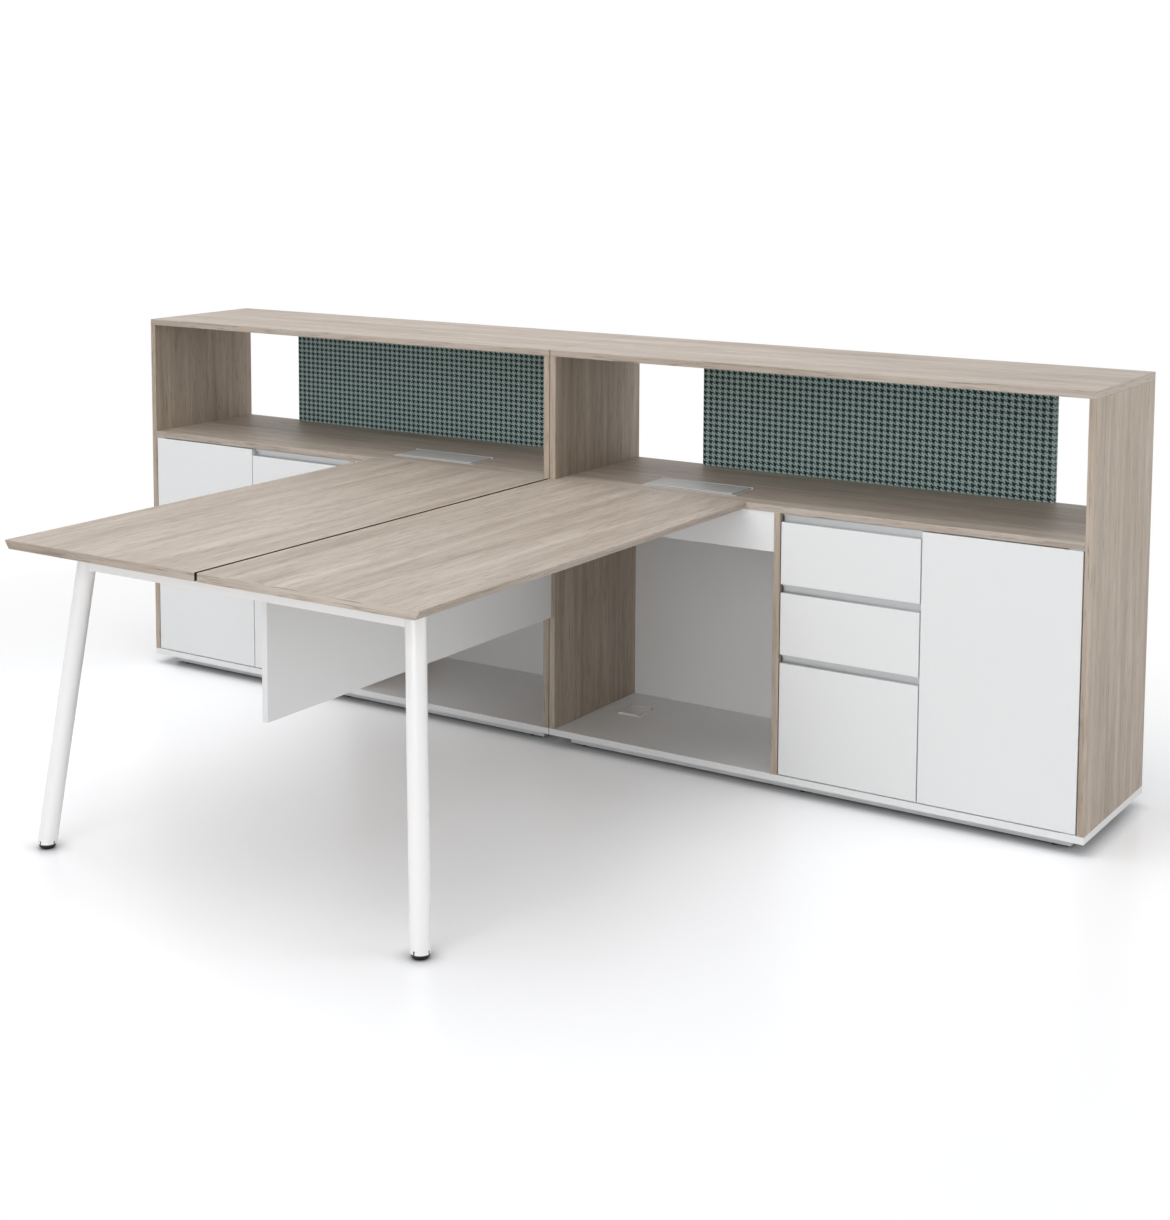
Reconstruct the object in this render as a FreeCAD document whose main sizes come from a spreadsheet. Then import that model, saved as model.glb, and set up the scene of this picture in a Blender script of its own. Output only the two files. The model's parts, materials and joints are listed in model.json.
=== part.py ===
import FreeCAD, Part
import Sketcher
import math
import os
import re

# Two-person desk cluster: two storage cabinets stand side by side along X, and a pair of desk tops
# runs forward from the middle of their fronts on one splayed pair of legs.
# Millimetres, +Z up, origin on the floor under the middle of the whole cluster. The cabinets face -Y.

# Driving sizes, each written once
SIZES = {
    # Whole cluster
    "CabinetDepth": 450,
    "CabinetHeight": 1105,
    "CabinetGap": 2,
    "DeskHeight": 750,
    "DeskLength": 1400,
    # Boards of the cabinets
    "BoardThickness": 18,
    "BackThickness": 16,
    "EdgeEase": 0.8,
    "KneeholeWidth": 664,
    "FasciaHeight": 103,
    "FasciaSetback": 2,
    "PlinthHeight": 30,
    "PlinthInset": 45,
    "PlinthThickness": 16,
    "PadDiameter": 14,
    "PadThickness": 4,
    "PartitionSetback": 1,
    # Fabric screen
    "ScreenInset": 241,
    "ScreenThickness": 20,
    # Drawers
    "FrontGap": 3,
    "DrawerFrontWidth": 376,
    "UpperFrontHeight": 160,
    "PullGap": 23,
    "PullWall": 1.6,
    "PullDepth": 15,
    "PullHeight": 20,
    "PullNose": 5,
    "PullLip": 4,
    "BoxBackGap": 36,
    "BoxWall": 12,
    "BoxFloor": 6,
    "BoxRise": 16,
    "BoxRelief": 50,
    "RunnerEndGap": 15,
    "RunnerHeight": 36,
    "RunnerWidth": 12,
    "RunnerWall": 1.5,
    "RunnerPlay": 0.4,
    # Doors
    "DoorWidth": 396,
    "PivotInset": 12,
    "PivotSetback": 8,
    "PivotPinDiameter": 6,
    "PivotPinLength": 12,
    "PivotPlay": 0.05,
    "PivotPlateLength": 36,
    "PivotPlateWidth": 14,
    "PivotPlateThickness": 2,
    "LatchLength": 60,
    "LatchWidth": 20,
    "LatchHeight": 14,
    "LatchNose": 4,
    "LatchNoseDiameter": 8,
    "LatchClearance": 0.3,
    # Shelves
    "ShelfSetback": 24,
    "ShelfPlay": 0.5,
    "SupportLength": 12,
    "SupportThickness": 4,
    # Power boxes
    "PowerLength": 284,
    "PowerDepth": 108,
    "PowerSetback": 60,
    "PowerWall": 2,
    "PowerLip": 10,
    "PowerWell": 62,
    "SocketLength": 190,
    "SocketDepth": 52,
    "SocketHeight": 30,
    "SocketDiameter": 38,
    "SocketRecess": 2,
    "SocketPitch": 58,
    # Cable ports
    "PortWidth": 80,
    "PortPlace": 118,
    "PortSetback": 230,
    "PortWall": 2,
    "PortLip": 9,
    "PortCorner": 10,
    # Lids of power boxes and cable ports
    "WellPlay": 1,
    "LidThickness": 3,
    "LidMargin": 10,
    "LidClearance": 0.3,
    "HingeBarrelDiameter": 4,
    "HingePinDiameter": 2.4,
    "HingePinLength": 5,
    "HingePlay": 0.05,
    "HingeEndPlay": 0.5,
    "HingeEar": 6,
    "HingeEarDepth": 5.2,
    # Desk
    "DeskTopWidth": 600,
    "DeskGap": 8,
    "DeskTopThickness": 20,
    "BevelInset": 12,
    "BevelLand": 3,
    "LegDiameter": 46,
    "LegWall": 2,
    "LegTopInset": 123,
    "LegTopSetback": 151,
    "LegFootInset": 49,
    "LegFootSetback": 65,
    "BeamHeight": 60,
    "BeamWidth": 30,
    "TubeWall": 2,
    "WeldGap": 0.2,
    "GlideDiameter": 42,
    "GlideHeight": 12,
    "PlugHeight": 24,
    "PlugPlay": 0.2,
    "LugWidth": 3.6,
    "LugHeight": 8,
    "LugRelief": 0.8,
    "RailPlace": 330,
    "RailWidth": 40,
    "RailHeight": 30,
    "BracketThickness": 3,
    "BracketReach": 60,
    "ModestyThickness": 16,
    "ModestyHeight": 356,
    "ModestySetback": 220,
    "ModestyDrop": 12,
    "ModestyBracketLength": 70,
    "ModestyBracketReach": 40,
    # Cutting tools reach this far past what they cut
    "Overrun": 10,
}

# Where the middles of the left and the right power box sit across their kneeholes
POWER_SHARES = (0.634, 0.574)
# Where the brackets of the modesty panel and the supports of a shelf sit along them
MODESTY_BRACKET_SHARES = (0.15, 0.8)
SHELF_SUPPORT_SHARES = (0.12, 0.84)
# Where the pads sit along the front and the back of a plinth
PAD_SHARES = (0.03, 0.5, 0.97)
# Outline of a glide from the floor up: shares of its diameter and of its height
GLIDE_SHARES = ((0.66, 0), (0.88, 0.25), (1, 0.7), (0.96, 1))

doc = FreeCAD.newDocument("desk_cluster")
sheet = doc.addObject("Spreadsheet::Sheet", "Sizes")
for row, (size_name, size_value) in enumerate(SIZES.items(), start=1):
    sheet.set(f"A{row}", size_name)
    sheet.set(f"B{row}", str(size_value))
    sheet.setAlias(f"B{row}", size_name)
doc.recompute()

# Levels and places that follow from the driving sizes
FRONT = "(DeskLength - CabinetDepth) / 2"
BACK = "(DeskLength + CabinetDepth) / 2"
DESK_FRONT = "-(DeskLength + CabinetDepth) / 2"
BOTTOM_TOP = "PlinthHeight + BoardThickness"
COUNTER_UNDER = "DeskHeight - BoardThickness"
TOP_UNDER = "CabinetHeight - BoardThickness"
DESK_UNDER = "DeskHeight - DeskTopThickness"
DESK_EDGE = "DeskGap / 2 + DeskTopWidth"
INNER_END = "CabinetGap / 2"
INNER_FACE = f"{INNER_END} + BoardThickness"
DIVIDER_NEAR = f"{INNER_FACE} + KneeholeWidth"
DIVIDER_FAR = f"{DIVIDER_NEAR} + BoardThickness"
DRAWER_NEAR = f"{DIVIDER_FAR} + FrontGap"
DRAWER_FAR = f"{DRAWER_NEAR} + DrawerFrontWidth"
DOOR_NEAR = f"{DRAWER_FAR} + FrontGap"
DOOR_FAR = f"{DOOR_NEAR} + DoorWidth"
OUTER_FACE = f"{DOOR_FAR} + FrontGap"
OUTER_END = f"{OUTER_FACE} + BoardThickness"
PARTITION_NEAR = f"{DRAWER_FAR} + FrontGap / 2 - BoardThickness / 2"
PARTITION_FAR = f"{DRAWER_FAR} + FrontGap / 2 + BoardThickness / 2"
FRONT_BACK = f"{FRONT} + BoardThickness"
BACK_FACE = f"{BACK} - BackThickness"
BOX_DEPTH = "(CabinetDepth - BoardThickness - BackThickness - BoxBackGap)"
BOX_NEAR = f"{DIVIDER_FAR} + RunnerWidth + RunnerPlay"
BOX_FAR = f"{PARTITION_NEAR} - RunnerWidth - RunnerPlay"
RUNNER_SPAN = (f"{FRONT_BACK} + RunnerEndGap", f"{FRONT_BACK} + {BOX_DEPTH} - RunnerEndGap")
DOOR_TOP = f"{COUNTER_UNDER} - FrontGap"
DOOR_BOTTOM = f"{BOTTOM_TOP} + FrontGap"
PIVOT_X = f"{DOOR_FAR} - PivotInset"
PIVOT_Y = f"{FRONT} + PivotSetback"
SHELF_MIDDLE = f"({BOTTOM_TOP} + {COUNTER_UNDER}) / 2"
SHELF_SPAN = (f"{FRONT_BACK} + ShelfSetback", f"{BACK_FACE} - ShelfPlay")
BEAM_MIDDLE = f"{DESK_UNDER} - BeamHeight / 2"
POWER_MIDDLES = {
    "left": f"-({INNER_FACE} + KneeholeWidth * {POWER_SHARES[0]})",
    "right": f"{INNER_FACE} + KneeholeWidth * {POWER_SHARES[1]}",
}
POWER_SPAN = (f"{FRONT} + PowerSetback", f"{FRONT} + PowerSetback + PowerDepth")
PORT_SPAN = (f"{FRONT} + PortSetback", f"{FRONT} + PortSetback + PortWidth")
LOWER_FRONT_HEIGHT = f"({COUNTER_UNDER} - ({BOTTOM_TOP}) - FrontGap - 3 * PullGap - 2 * UpperFrontHeight)"

SIDES = ("left", "right")
TIERS = ("upper", "middle", "lower")
TIER_HEIGHTS = {"upper": "UpperFrontHeight", "middle": "UpperFrontHeight", "lower": LOWER_FRONT_HEIGHT}
TIER_TOPS = {
    "upper": f"({COUNTER_UNDER} - PullGap)",
    "middle": f"({COUNTER_UNDER} - 2 * PullGap - UpperFrontHeight)",
    "lower": f"({COUNTER_UNDER} - 3 * PullGap - 2 * UpperFrontHeight)",
}
nodes = []


def bound(text):
    """Put the sheet's name before each size in an expression."""
    return re.sub(r"[A-Z][A-Za-z]+", lambda found: "Sizes." + found.group(0), text)


def bind(item, **expressions):
    """Tie properties of a document object to the sheet."""
    for name, text in expressions.items():
        item.setExpression(name, bound(text))


def place(item, x, y, z):
    """Tie the position of a document object to the sheet."""
    for axis, text in zip("xyz", (x, y, z)):
        item.setExpression(f"Placement.Base.{axis}", bound(text))


def across(side, low, high):
    """Limits along X of something that lies from low to high out from the middle of the cluster."""
    if side == "right":
        return low, high
    return f"-({high})", f"-({low})"


def about(middle, size):
    """Limits of something that is centred on middle."""
    return f"({middle}) - ({size}) / 2", f"({middle}) + ({size}) / 2"


def mirrored(side, middle):
    """Place along X of something at middle on the right, or its mirror place on the left."""
    return middle if side == "right" else f"-({middle})"


def node(item, label=None):
    """Keep a finished sub-part, which is written to a file named by its label."""
    if label:
        item.Label = label
    nodes.append(item)
    return item


def group(label, items):
    """A sub-part of several separate solids."""
    compound = doc.addObject("Part::Compound", label)
    compound.Links = items
    return node(compound)


def block(name, x, y, z):
    """A plain block between limits along each axis."""
    item = doc.addObject("Part::Box", name)
    bind(item, Length=f"({x[1]}) - ({x[0]})", Width=f"({y[1]}) - ({y[0]})", Height=f"({z[1]}) - ({z[0]})")
    place(item, x[0], y[0], z[0])
    return item


def board(name, x, y, z):
    """A board between limits along each axis, with every edge eased."""
    body = doc.addObject("PartDesign::Body", name)
    blank = body.newObject("PartDesign::AdditiveBox", f"{name}_blank")
    bind(blank, Length=f"({x[1]}) - ({x[0]})", Width=f"({y[1]}) - ({y[0]})", Height=f"({z[1]}) - ({z[0]})")
    doc.recompute()
    ease = body.newObject("PartDesign::Chamfer", f"{name}_ease")
    ease.Base = (blank, ["Edge1"])
    ease.UseAllEdges = True
    bind(ease, Size="EdgeEase")
    place(body, x[0], y[0], z[0])
    return body


def rod(name, diameter, length, x, y, z, direction="Z"):
    """A round rod from a point along an axis."""
    item = doc.addObject("Part::Cylinder", name)
    if direction == "X":
        item.Placement.Rotation = FreeCAD.Rotation(FreeCAD.Vector(0, 1, 0), 90)
    if direction == "Y":
        item.Placement.Rotation = FreeCAD.Rotation(FreeCAD.Vector(1, 0, 0), -90)
    bind(item, Radius=f"({diameter}) / 2", Height=length)
    place(item, x, y, z)
    return item


def cut(name, base, tools):
    """A base with tools taken out of it."""
    for number, tool in enumerate(tools):
        result = doc.addObject("Part::Cut", f"{name}_cut_{number}")
        result.Base = base
        result.Tool = tool
        base = result
    return base


def fuse(name, items):
    """One solid made of overlapping shapes."""
    item = doc.addObject("Part::MultiFuse", name)
    item.Shapes = items
    item.Refine = True
    return item


def extrusion(name, plane_role, loops, length, towards=1):
    """A straight-sided profile on an origin plane, pushed out along the plane's normal."""
    body = doc.addObject("PartDesign::Body", name)
    sketch = body.newObject("Sketcher::SketchObject", f"{name}_profile")
    plane = next(item for item in body.Origin.OriginFeatures if item.Role == plane_role)
    sketch.AttachmentSupport = (plane, [""])
    sketch.MapMode = "FlatFace"
    for corners in loops:
        add_loop(sketch, corners)
    doc.recompute()
    pad = body.newObject("PartDesign::Pad", f"{name}_pad")
    pad.Profile = sketch
    pad.Reversed = towards < 0
    bind(pad, Length=length)
    return body


def add_loop(sketch, corners):
    """A closed loop of lines whose corners are each held by two sizes from the sketch's origin."""
    count = len(corners)
    first = sketch.GeometryCount
    turns = [2 * math.pi * number / count for number in range(count + 1)]
    spots = [FreeCAD.Vector(math.cos(turn), math.sin(turn), 0) for turn in turns]
    for start, end in zip(spots, spots[1:]):
        sketch.addGeometry(Part.LineSegment(start, end), False)
    for number, corner in enumerate(corners):
        line = first + number
        before = first + (number - 1) % count
        sketch.addConstraint(Sketcher.Constraint("Coincident", before, 2, line, 1))
        for kind, text in zip(("DistanceX", "DistanceY"), corner):
            index = sketch.addConstraint(Sketcher.Constraint(kind, -1, 1, line, 1, 1.0))
            sketch.setExpression(f"Constraints[{index}]", bound(text))


def rectangle(x, y):
    """The four corners of a rectangle between limits along two axes."""
    return [(x[0], y[0]), (x[1], y[0]), (x[1], y[1]), (x[0], y[1])]


def leg_centre(side, level):
    """The leg's axis at a level, from the foot out at the corner to the top further in."""
    rise = f"(({level}) - GlideHeight) / ({DESK_UNDER} - GlideHeight)"
    x = f"{DESK_EDGE} - LegFootInset + (LegFootInset - LegTopInset) * {rise}"
    y = f"{DESK_FRONT} + LegFootSetback + (LegTopSetback - LegFootSetback) * {rise}"
    return mirrored(side, x), y


def glide_cones(side, x, y):
    """The bowl of a glide: cones from each ring of its outline to the next."""
    cones = []
    for number, (lower, upper) in enumerate(zip(GLIDE_SHARES, GLIDE_SHARES[1:])):
        cone = doc.addObject("Part::Cone", f"{side}_glide_cone_{number}")
        bind(
            cone,
            Radius1=f"GlideDiameter * {lower[0]} / 2",
            Radius2=f"GlideDiameter * {upper[0]} / 2",
            Height=f"GlideHeight * ({upper[1]} - {lower[1]})",
        )
        place(cone, x, y, f"GlideHeight * {lower[1]}")
        cones.append(cone)
    return cones


def leg_bar(name, side, diameter, low):
    """A round bar along the leg's axis, from a level up past the desk tops."""
    x, y = leg_centre(side, low)
    lean_x = mirrored(side, "LegFootInset - LegTopInset")
    lean_y = "LegTopSetback - LegFootSetback"
    rise = f"{DESK_UNDER} - GlideHeight"
    lean = f"atan2(sqrt(pow({lean_x}; 2) + pow({lean_y}; 2)); {rise})"
    bar = doc.addObject("Part::Cylinder", name)
    bind(
        bar,
        Radius=f"({diameter}) / 2",
        Height="DeskHeight + LegDiameter + 2 * Overrun",
        Placement=f"placement(vector({x}; {y}; {low}); rotation(vector(-({lean_y}); {lean_x}; 0); {lean}))",
    )
    return bar


def level_bar(name, side, diameter, low, high):
    """A round bar along the leg's axis, cut level at both ends."""
    bar = leg_bar(f"{name}_bar", side, diameter, f"{low} - LegDiameter")
    middle_x = mirrored(side, f"{DESK_EDGE} - (LegTopInset + LegFootInset) / 2")
    x = about(middle_x, "abs(LegTopInset - LegFootInset) + 4 * LegDiameter")
    middle_y = f"{DESK_FRONT} + (LegTopSetback + LegFootSetback) / 2"
    y = about(middle_y, "abs(LegTopSetback - LegFootSetback) + 4 * LegDiameter")
    trimmed = doc.addObject("Part::Common", name)
    trimmed.Base = bar
    trimmed.Tool = block(f"{name}_levels", x, y, (low, high))
    return trimmed


# Fixed boards of a cabinet
def make_carcass(side):
    depth = (FRONT, BACK)
    lower = (BOTTOM_TOP, COUNTER_UNDER)
    between = across(side, INNER_FACE, OUTER_FACE)
    whole = across(side, INNER_END, OUTER_END)
    upright = (BOTTOM_TOP, TOP_UNDER)
    node(board(f"{side}_outer_end_panel", across(side, OUTER_FACE, OUTER_END), depth, upright))
    node(board(f"{side}_inner_end_panel", across(side, INNER_END, INNER_FACE), depth, upright))
    node(board(f"{side}_top_board", whole, depth, (TOP_UNDER, "CabinetHeight")))
    node(board(f"{side}_divider", across(side, DIVIDER_NEAR, DIVIDER_FAR), (FRONT, BACK_FACE), lower))
    node(board(f"{side}_back_panel", between, (BACK_FACE, BACK), lower))
    screen = across(side, "ScreenInset", f"{OUTER_END} - ScreenInset")
    node(board(f"{side}_screen", screen, (f"{BACK} - ScreenThickness", BACK), ("DeskHeight", TOP_UNDER)))
    make_counter(side, between, depth)
    make_bottom_board(side, whole, depth)


# Counter at desk height, with the hole that the power box hangs in
def make_counter(side, between, depth):
    counter = board(f"{side}_counter_board", between, depth, (COUNTER_UNDER, "DeskHeight"))
    hole = block(
        f"{side}_power_hole",
        about(POWER_MIDDLES[side], "PowerLength - 2 * PowerLip + 2 * WellPlay"),
        (f"{POWER_SPAN[0]} + PowerLip - WellPlay", f"{POWER_SPAN[1]} - PowerLip + WellPlay"),
        (f"{COUNTER_UNDER} - Overrun", "DeskHeight + Overrun"),
    )
    node(cut(f"{side}_counter", counter, [hole]), f"{side}_counter")


# Bottom board, with the hole of the cable port
def make_bottom_board(side, whole, depth):
    bottom = board(f"{side}_bottom_blank", whole, depth, ("PlinthHeight", BOTTOM_TOP))
    hole = block(
        f"{side}_port_hole",
        about(mirrored(side, "PortPlace"), "PortWidth - 2 * PortLip + 2 * WellPlay"),
        (f"{PORT_SPAN[0]} + PortLip - WellPlay", f"{PORT_SPAN[1]} - PortLip + WellPlay"),
        ("PlinthHeight - Overrun", f"{BOTTOM_TOP} + Overrun"),
    )
    node(cut(f"{side}_bottom", bottom, [hole]), f"{side}_bottom_board")


# Plinth: a ring of four boards under each cabinet, set in from its outline
def plinth_ring(side):
    ends = (f"{FRONT} + PlinthInset + PlinthThickness", f"{BACK} - PlinthInset - PlinthThickness")
    far_face = f"{OUTER_END} - PlinthInset"
    long_span = across(side, "PlinthInset", far_face)
    near_end = across(side, "PlinthInset", "PlinthInset + PlinthThickness")
    far_end = across(side, f"{far_face} - PlinthThickness", far_face)
    level = ("PadThickness", "PlinthHeight")
    return [
        board(f"{side}_plinth_front", long_span, (f"{FRONT} + PlinthInset", ends[0]), level),
        board(f"{side}_plinth_back", long_span, (ends[1], f"{BACK} - PlinthInset"), level),
        board(f"{side}_plinth_near_end", near_end, ends, level),
        board(f"{side}_plinth_far_end", far_end, ends, level),
    ]


# Pads: round nail-on glides under the long boards of a plinth, which hold it just off the floor
def plinth_pads(side):
    low, high = across(side, "PlinthInset", f"{OUTER_END} - PlinthInset")
    rows = {
        "front": f"{FRONT} + PlinthInset + PlinthThickness / 2",
        "back": f"{BACK} - PlinthInset - PlinthThickness / 2",
    }
    pads = []
    for row, y in rows.items():
        for number, share in enumerate(PAD_SHARES, start=1):
            x = f"{low} + (({high}) - ({low})) * {share}"
            pads.append(rod(f"{side}_{row}_pad_{number}", "PadDiameter", "PadThickness", x, y, "0"))
    return pads


def fascia(side):
    x = across(side, INNER_FACE, DIVIDER_NEAR)
    y = (f"{FRONT} + FasciaSetback", f"{FRONT} + FasciaSetback + BoardThickness")
    return board(f"{side}_fascia", x, y, (f"{COUNTER_UNDER} - FasciaHeight", COUNTER_UNDER))


def partition(side):
    x = across(side, PARTITION_NEAR, PARTITION_FAR)
    y = (f"{FRONT_BACK} + PartitionSetback", BACK_FACE)
    return board(f"{side}_partition", x, y, (BOTTOM_TOP, COUNTER_UNDER))


# Drawer: a front, an aluminium finger pull along its top edge, and a box with slide bars
def make_drawer(side, tier):
    name = f"{side}_{tier}"
    top = TIER_TOPS[tier]
    height = TIER_HEIGHTS[tier]
    width = across(side, DRAWER_NEAR, DRAWER_FAR)
    node(board(f"{name}_drawer_front", width, (FRONT, FRONT_BACK), (f"{top} - {height}", top)))
    make_finger_pull(f"{name}_finger_pull", width[0], top)
    group(f"{name}_drawer_box", drawer_box(name, side, *box_levels(tier)))


# Finger pull: a foot on the front's top edge, a web set back in the gap and a nose with a downturned lip
def make_finger_pull(name, x, top):
    back = "BoardThickness"
    web = "BoardThickness - PullWall"
    nose = "BoardThickness - PullWall - PullNose"
    profile = [
        ("BoardThickness - PullDepth", "0"),
        (back, "0"),
        (back, "PullHeight"),
        (nose, "PullHeight"),
        (nose, "PullHeight - PullLip"),
        (f"{nose} + PullWall", "PullHeight - PullLip"),
        (f"{nose} + PullWall", "PullHeight - PullWall"),
        (web, "PullHeight - PullWall"),
        (web, "PullWall"),
        ("BoardThickness - PullDepth", "PullWall"),
    ]
    pull = extrusion(name, "YZ_Plane", [profile], "DrawerFrontWidth")
    place(pull, x, FRONT, top)
    node(pull)


def box_levels(tier):
    """Low and high edges of a drawer box's sides."""
    low = f"({TIER_TOPS[tier]} - {TIER_HEIGHTS[tier]} + BoxRise)"
    return low, f"({low} + {TIER_HEIGHTS[tier]} - BoxRelief)"


def drawer_box(name, side, low, high):
    depth = (FRONT_BACK, f"{FRONT_BACK} + {BOX_DEPTH}")
    inside = across(side, f"{BOX_NEAR} + BoxWall", f"{BOX_FAR} - BoxWall")
    level = (low, high)
    bar_level = about(f"({low} + {high}) / 2", "RunnerHeight - 2 * RunnerWall - 2 * RunnerPlay")
    near_bar = across(side, f"{BOX_NEAR} - RunnerWidth + RunnerWall", BOX_NEAR)
    far_bar = across(side, BOX_FAR, f"{BOX_FAR} + RunnerWidth - RunnerWall")
    back_span = (f"{depth[1]} - BoxWall", depth[1])
    return [
        board(f"{name}_box_near_side", across(side, BOX_NEAR, f"{BOX_NEAR} + BoxWall"), depth, level),
        board(f"{name}_box_far_side", across(side, f"{BOX_FAR} - BoxWall", BOX_FAR), depth, level),
        board(f"{name}_box_floor", inside, depth, (f"{low} + BoxFloor", f"{low} + 2 * BoxFloor")),
        board(f"{name}_box_back", inside, back_span, (f"{low} + 2 * BoxFloor", high)),
        board(f"{name}_near_bar", near_bar, RUNNER_SPAN, bar_level),
        board(f"{name}_far_bar", far_bar, RUNNER_SPAN, bar_level),
    ]


# Drawer runners: steel channels on the walls of the drawer bay, open towards the drawer
def runner_pair(side, tier):
    low, high = box_levels(tier)
    middle = f"({low} + {high}) / 2"
    walls = {"near": (DIVIDER_FAR, 1), "far": (PARTITION_NEAR, -1)}
    return [runner(f"{side}_{tier}_{wall}_runner", side, *walls[wall], middle) for wall in walls]


def runner(name, side, wall, towards, middle):
    """A channel whose web lies on the wall and whose two lips point into the bay."""
    sign = towards if side == "right" else -towards
    half = "RunnerHeight / 2"
    profile = [
        ("0", f"-{half}"),
        (f"{sign} * RunnerWidth", f"-{half}"),
        (f"{sign} * RunnerWidth", f"-{half} + RunnerWall"),
        (f"{sign} * RunnerWall", f"-{half} + RunnerWall"),
        (f"{sign} * RunnerWall", f"{half} - RunnerWall"),
        (f"{sign} * RunnerWidth", f"{half} - RunnerWall"),
        (f"{sign} * RunnerWidth", half),
        ("0", half),
    ]
    length = f"({RUNNER_SPAN[1]}) - ({RUNNER_SPAN[0]})"
    channel = extrusion(name, "XZ_Plane", [profile], length, towards=-1)
    place(channel, mirrored(side, wall), RUNNER_SPAN[0], middle)
    return channel


# Door with blind bores for its pivot pins in the top and bottom edges
def make_door(side):
    x = across(side, DOOR_NEAR, DOOR_FAR)
    leaf = board(f"{side}_door_leaf", x, (FRONT, FRONT_BACK), (DOOR_BOTTOM, DOOR_TOP))
    bore = "PivotPinDiameter + 2 * PivotPlay"
    depth = "PivotPinLength + Overrun"
    axis = mirrored(side, PIVOT_X)
    upper = rod(f"{side}_door_upper_bore", bore, depth, axis, PIVOT_Y, f"{DOOR_TOP} - PivotPinLength")
    lower = rod(f"{side}_door_lower_bore", bore, depth, axis, PIVOT_Y, f"{DOOR_BOTTOM} - Overrun")
    node(cut(f"{side}_door", leaf, [upper, lower]), f"{side}_door")


def door_fittings(side):
    """Pivot plates with their pins over and under the door, and the push latch at its free edge."""
    axis = mirrored(side, PIVOT_X)
    plate_x = across(side, f"{OUTER_FACE} - PivotPlateLength", OUTER_FACE)
    plate_y = about(PIVOT_Y, "PivotPlateWidth")
    length = "PivotPinLength + PivotPlateThickness"
    levels = {
        "upper": (f"{COUNTER_UNDER} - PivotPlateThickness", COUNTER_UNDER, f"{COUNTER_UNDER} - ({length})"),
        "lower": (BOTTOM_TOP, f"{BOTTOM_TOP} + PivotPlateThickness", BOTTOM_TOP),
    }
    fittings = []
    for end, (low, high, pin_low) in levels.items():
        plate = block(f"{side}_{end}_pivot_plate", plate_x, plate_y, (low, high))
        pin = rod(f"{side}_{end}_pivot_pin", "PivotPinDiameter", length, axis, PIVOT_Y, pin_low)
        fittings.append(fuse(f"{side}_{end}_pivot", [plate, pin]))
    body_y = f"{FRONT_BACK} + LatchClearance + LatchNose"
    latch_x = across(side, PARTITION_FAR, f"{PARTITION_FAR} + LatchWidth")
    latch_z = (f"{COUNTER_UNDER} - LatchHeight", COUNTER_UNDER)
    body = block(f"{side}_latch_body", latch_x, (body_y, f"{body_y} + LatchLength"), latch_z)
    nose = rod(
        f"{side}_latch_nose",
        "LatchNoseDiameter",
        "2 * LatchNose",
        mirrored(side, f"{PARTITION_FAR} + LatchWidth / 2"),
        f"{FRONT_BACK} + LatchClearance",
        f"{COUNTER_UNDER} - LatchHeight / 2",
        direction="Y",
    )
    fittings.append(fuse(f"{side}_latch", [body, nose]))
    return fittings


def shelf(side):
    x = across(side, f"{PARTITION_FAR} + ShelfPlay", f"{OUTER_FACE} - ShelfPlay")
    return board(f"{side}_shelf", x, SHELF_SPAN, about(SHELF_MIDDLE, "BoardThickness"))


def shelf_supports(side):
    """Four small blocks on the compartment's walls, under the shelf's corners."""
    under = f"{SHELF_MIDDLE} - BoardThickness / 2"
    walls = {
        "near": across(side, PARTITION_FAR, f"{PARTITION_FAR} + SupportLength"),
        "far": across(side, f"{OUTER_FACE} - SupportLength", OUTER_FACE),
    }
    supports = []
    for wall, x in walls.items():
        for number, share in enumerate(SHELF_SUPPORT_SHARES):
            y = f"{SHELF_SPAN[0]} + (({SHELF_SPAN[1]}) - ({SHELF_SPAN[0]})) * {share}"
            name = f"{side}_{wall}_support_{number}"
            depth = (y, f"{y} + SupportLength")
            supports.append(block(name, x, depth, (f"{under} - SupportThickness", under)))
    return supports


# Power box: an aluminium tray that hangs in the counter by its rim
def power_box(side):
    middle = POWER_MIDDLES[side]
    wall_y = (f"{POWER_SPAN[0]} + PowerLip", f"{POWER_SPAN[1]} - PowerLip")
    floor = "DeskHeight - PowerWell"
    rim_top = "DeskHeight + PowerWall"
    rim = block(f"{side}_power_rim", about(middle, "PowerLength"), POWER_SPAN, ("DeskHeight", rim_top))
    well = block(f"{side}_power_well", about(middle, "PowerLength - 2 * PowerLip"), wall_y, (floor, rim_top))
    space = block(
        f"{side}_power_space",
        about(middle, "PowerLength - 2 * PowerLip - 2 * PowerWall"),
        (f"{wall_y[0]} + PowerWall", f"{wall_y[1]} - PowerWall"),
        (f"{floor} + PowerWall", f"{rim_top} + Overrun"),
    )
    return cut(f"{side}_power_box", fuse(f"{side}_power_tray", [rim, well]), [space])


def socket_strip(side):
    """A block with three round socket wells, standing on the floor of the power box."""
    middle = POWER_MIDDLES[side]
    centre = f"({POWER_SPAN[0]} + {POWER_SPAN[1]}) / 2"
    low = "DeskHeight - PowerWell + PowerWall"
    strip = block(
        f"{side}_socket_block",
        about(middle, "SocketLength"),
        about(centre, "SocketDepth"),
        (low, f"{low} + SocketHeight"),
    )
    wells = [
        rod(
            f"{side}_socket_well_{place_number}",
            "SocketDiameter",
            "SocketRecess + Overrun",
            f"{middle} + {place_number} * SocketPitch",
            centre,
            f"{low} + SocketHeight - SocketRecess",
        )
        for place_number in (-1, 0, 1)
    ]
    return cut(f"{side}_socket_strip", strip, wells)


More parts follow.
